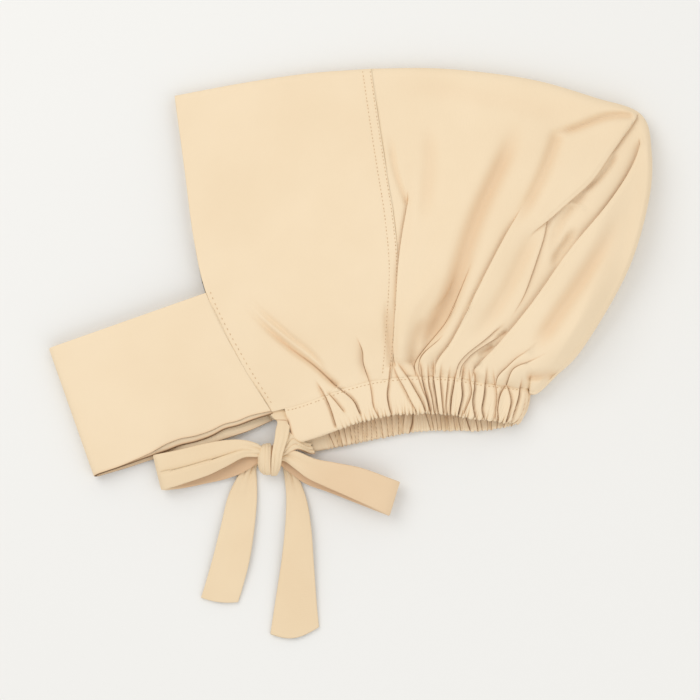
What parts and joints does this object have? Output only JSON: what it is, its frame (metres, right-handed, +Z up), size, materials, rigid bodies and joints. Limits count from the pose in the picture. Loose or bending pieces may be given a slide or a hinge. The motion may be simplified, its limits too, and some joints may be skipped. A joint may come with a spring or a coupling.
{
  "type": "hijab underscarf cap",
  "caption": "Soft jersey under-scarf cap lying on its side: hood with gathered pouch, elastic neck casing, folded chin band and a tied bow.",
  "frame": {"origin": "on the table, in the middle of the cap's box", "axes": "+X from the face edge to the back of the pouch, +Y from the neck hem to the top fold, +Z up from the far half to the near half"},
  "size_m": [0.4044, 0.3806, 0.0351],
  "materials": {
    "jersey": "matt beige jersey, doubled",
    "tie_jersey": "matt beige jersey, turned tube pressed flat"
  },
  "bodies": {
    "root": {"front_panel": "jersey", "pouch": "jersey", "neck_casing": "jersey", "chin_band": "jersey", "knot": "tie_jersey", "left_loop": "tie_jersey", "right_loop": "tie_jersey", "left_tail": "tie_jersey", "right_tail": "tie_jersey", "near_lead": "tie_jersey", "far_lead": "tie_jersey"}
  },
  "joints": []
}
